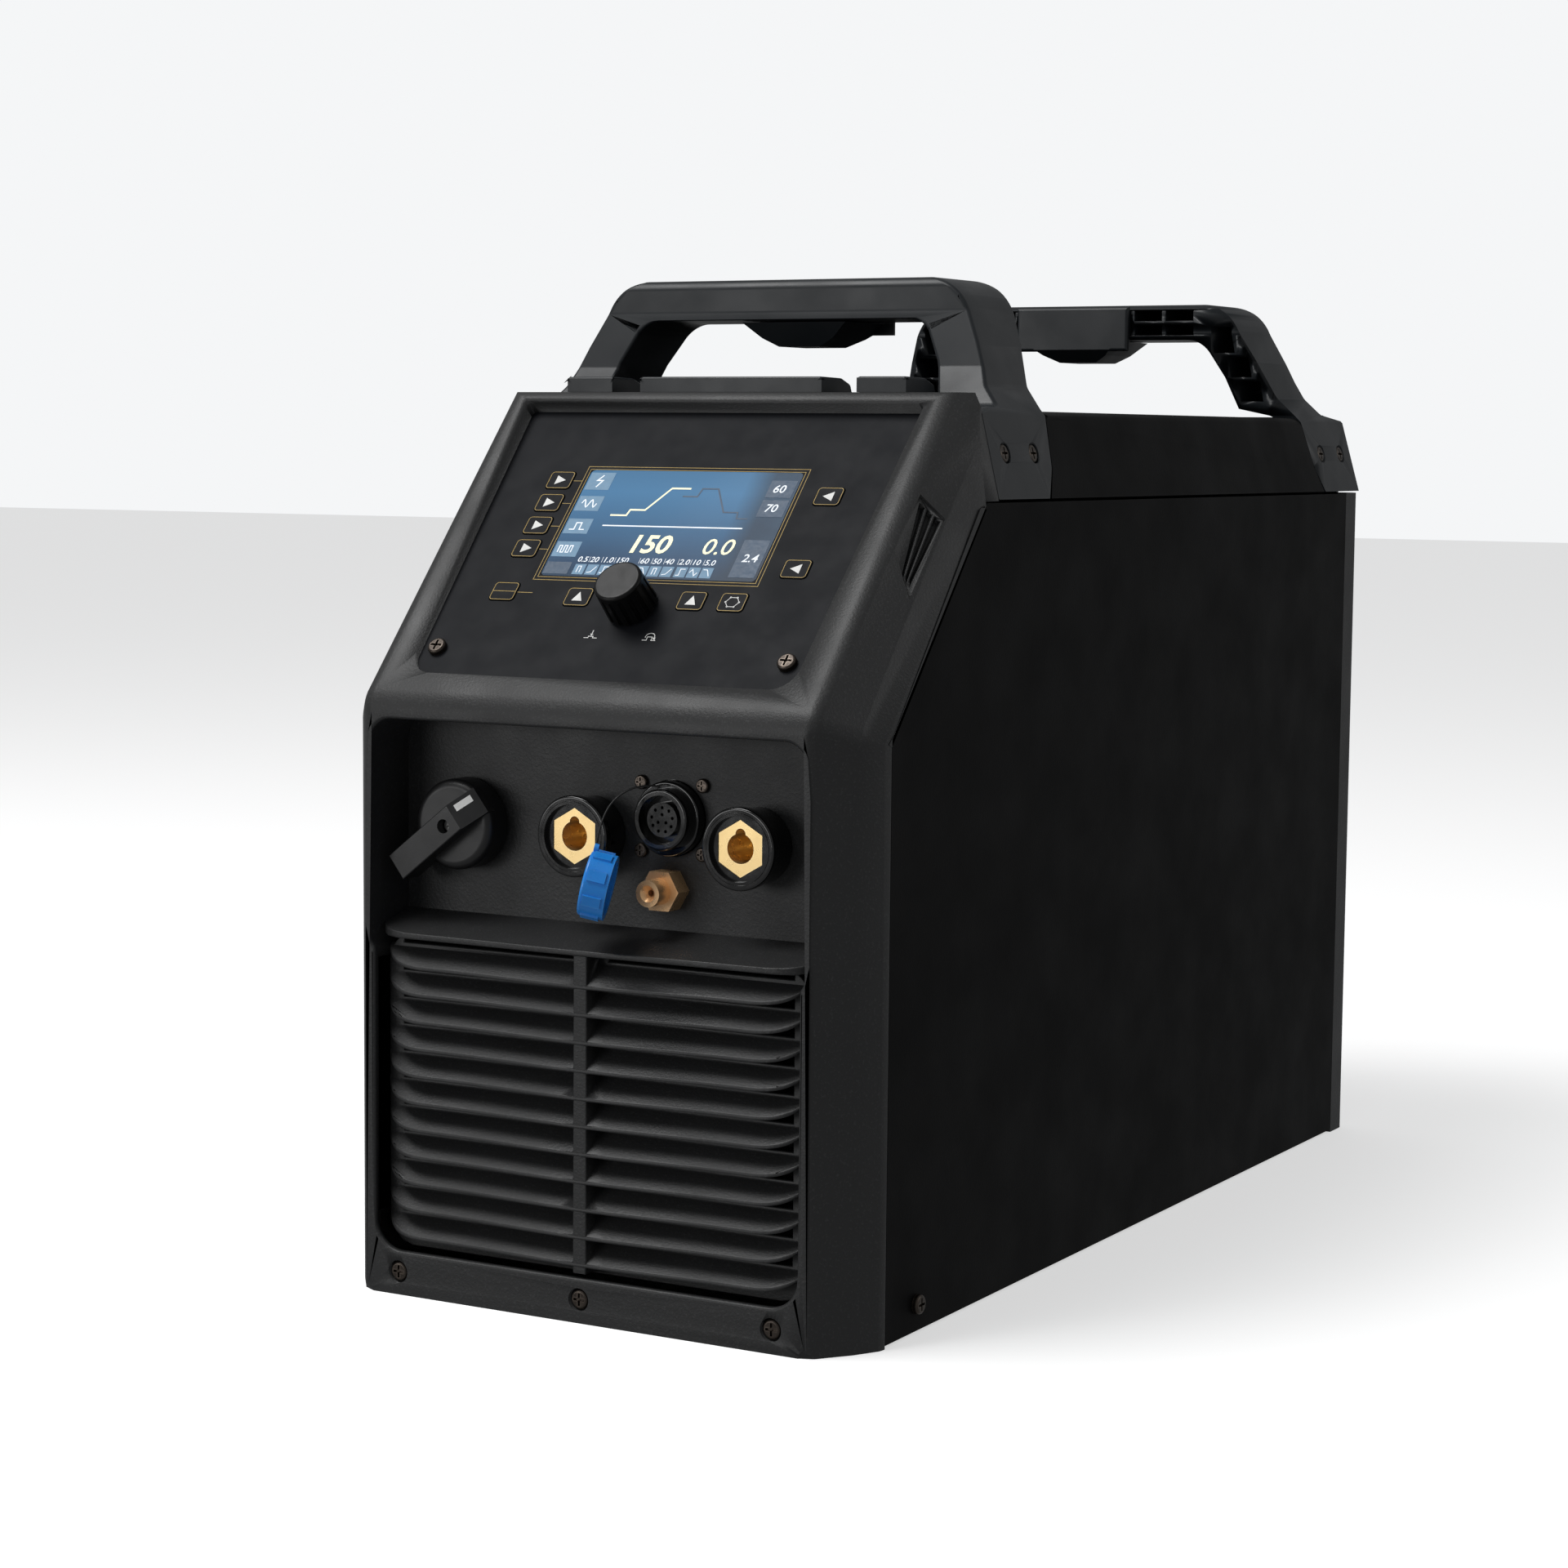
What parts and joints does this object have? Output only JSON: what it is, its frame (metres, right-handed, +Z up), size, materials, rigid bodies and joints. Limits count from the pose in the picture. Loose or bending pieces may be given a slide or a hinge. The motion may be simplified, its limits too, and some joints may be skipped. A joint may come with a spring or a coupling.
{
  "type": "tig welding machine",
  "caption": "Portable TIG welding power source with sloped control panel, recessed sockets, louvred front and two carrying handles.",
  "frame": {"origin": "middle of the overall footprint, on the surface the machine stands on", "axes": "+X to the right seen from the front, front faces -Y, +Z up"},
  "size_m": [0.2754, 0.6249, 0.461],
  "materials": {
    "fascia_plastic": "fine spark-eroded grain, charcoal grey",
    "overlay_black": "printed polyester membrane, low sheen",
    "window_glass": "clear hard-coated window",
    "display_blue": "lit colour display",
    "board_green": "circuit board",
    "zinc_steel": "zinc-plated sheet",
    "gland_black": "nylon gland",
    "insulator_black": "glossy moulded insulator",
    "screw_dark": "blackened steel",
    "gas_brass": "reddish turned brass",
    "cap_blue": "bright blue moulding",
    "lanyard_black": "thin cord",
    "handle_plastic": "smooth bluish charcoal, satin",
    "cover_paint": "black fine-texture powder coat",
    "brass": "turned and milled",
    "aluminium_plain": "extruded",
    "capacitor_black": "sleeved cans",
    "core_dark": "ferrite with lacquered winding",
    "copper_coil": "lacquered copper winding",
    "spring_steel": "bright wire",
    "knob_black": "fluted, low gloss",
    "switch_grey": "satin switch handle",
    "screw_steel": "browned steel",
    "key_black": "soft-touch keycap with a golden outline"
  },
  "bodies": {
    "case": {"front_fascia": "fascia_plastic", "front_grille": "fascia_plastic", "connector_plate": "fascia_plastic", "control_overlay": "overlay_black", "display_window": "window_glass", "display_module": "display_blue", "control_board": "board_green", "encoder_body": "zinc_steel", "main_switch_body": "gland_black", "connector_shell": "insulator_black", "connector_insert": "insulator_black", "connector_screws": "screw_dark", "gas_outlet": "gas_brass", "protective_cap": "cap_blue", "cap_lanyard": "lanyard_black", "handle_front": "handle_plastic", "handle_rear": "handle_plastic", "grip_front": "handle_plastic", "grip_rear": "handle_plastic", "top_pads": "handle_plastic", "side_cover_right": "cover_paint", "side_cover_left": "cover_paint", "top_cover": "cover_paint", "rear_frame": "fascia_plastic", "fan_guard": "fascia_plastic", "base_plate": "zinc_steel", "case_screws": "screw_dark", "mains_gland": "gland_black", "gas_inlet": "brass", "divider_plate": "zinc_steel", "heatsink": "aluminium_plain", "power_board": "board_green", "capacitors": "capacitor_black", "main_transformer": "core_dark", "output_choke": "copper_coil", "hf_coil": "core_dark", "fan_housing": "gland_black", "gas_valve_body": "brass", "gas_valve_spring": "spring_steel", "socket_insulator_left": "insulator_black", "socket_insulator_right": "insulator_black", "socket_insert_left": "brass", "socket_insert_right": "brass"},
    "encoder_push": {"encoder_plunger": "zinc_steel"},
    "knob": {"control_knob": "knob_black", "encoder_shaft": "aluminium_plain"},
    "main_switch": {"main_switch_knob": "switch_grey", "main_switch_screw": "screw_steel"},
    "fan": {"fan_rotor": "gland_black"},
    "gas_plunger": {"gas_valve_plunger": "screw_steel"},
    "key_mode_1": {"key_mode_1": "key_black"},
    "key_mode_2": {"key_mode_2": "key_black"},
    "key_mode_3": {"key_mode_3": "key_black"},
    "key_mode_4": {"key_mode_4": "key_black"},
    "key_page_up": {"key_page_up": "key_black"},
    "key_page_down": {"key_page_down": "key_black"},
    "key_step_left": {"key_step_left": "key_black"},
    "key_step_right": {"key_step_right": "key_black"},
    "key_gas_test": {"key_gas_test": "key_black"},
    "key_store": {"key_store": "key_black"}
  },
  "joints": [
    {"name": "key_mode_1_press", "type": "slide", "parent": "case", "child": "key_mode_1", "axis": [0, 0.7337, -0.6794], "range_m": [0, 0.0005], "stiffness_N_per_m": 2500},
    {"name": "key_mode_2_press", "type": "slide", "parent": "case", "child": "key_mode_2", "axis": [0, 0.7337, -0.6794], "range_m": [0, 0.0005], "stiffness_N_per_m": 2500},
    {"name": "key_mode_3_press", "type": "slide", "parent": "case", "child": "key_mode_3", "axis": [0, 0.7337, -0.6794], "range_m": [0, 0.0005], "stiffness_N_per_m": 2500},
    {"name": "key_mode_4_press", "type": "slide", "parent": "case", "child": "key_mode_4", "axis": [0, 0.7337, -0.6794], "range_m": [0, 0.0005], "stiffness_N_per_m": 2500},
    {"name": "key_page_up_press", "type": "slide", "parent": "case", "child": "key_page_up", "axis": [0, 0.7337, -0.6794], "range_m": [0, 0.0005], "stiffness_N_per_m": 2500},
    {"name": "key_page_down_press", "type": "slide", "parent": "case", "child": "key_page_down", "axis": [0, 0.7337, -0.6794], "range_m": [0, 0.0005], "stiffness_N_per_m": 2500},
    {"name": "key_step_left_press", "type": "slide", "parent": "case", "child": "key_step_left", "axis": [0, 0.7337, -0.6794], "range_m": [0, 0.0005], "stiffness_N_per_m": 2500},
    {"name": "key_step_right_press", "type": "slide", "parent": "case", "child": "key_step_right", "axis": [0, 0.7337, -0.6794], "range_m": [0, 0.0005], "stiffness_N_per_m": 2500},
    {"name": "key_gas_test_press", "type": "slide", "parent": "case", "child": "key_gas_test", "axis": [0, 0.7337, -0.6794], "range_m": [0, 0.0005], "stiffness_N_per_m": 2500},
    {"name": "key_store_press", "type": "slide", "parent": "case", "child": "key_store", "axis": [0, 0.7337, -0.6794], "range_m": [0, 0.0005], "stiffness_N_per_m": 2500},
    {"name": "encoder_press", "type": "slide", "parent": "case", "child": "encoder_push", "axis": [0, 0.7337, -0.6794], "range_m": [0, 0.0005], "stiffness_N_per_m": 4000},
    {"name": "knob_turn", "type": "hinge", "parent": "encoder_push", "child": "knob", "pos_m": [0.001, -0.26269, 0.31211], "axis": [0, -0.7337, 0.6794], "continuous": true},
    {"name": "main_switch_turn", "type": "hinge", "parent": "case", "child": "main_switch", "pos_m": [-0.0775, -0.284, 0.2135], "axis": [0, -1, 0], "range_deg": [0, 60]},
    {"name": "fan_spin", "type": "hinge", "parent": "case", "child": "fan", "pos_m": [0, 0.23, 0.13], "axis": [0, 1, 0], "continuous": true},
    {"name": "gas_plunger_lift", "type": "slide", "parent": "case", "child": "gas_plunger", "axis": [0, 0, 1], "range_m": [0, 0.002], "stiffness_N_per_m": 600, "deforming": ["gas_valve_spring"]}
  ]
}
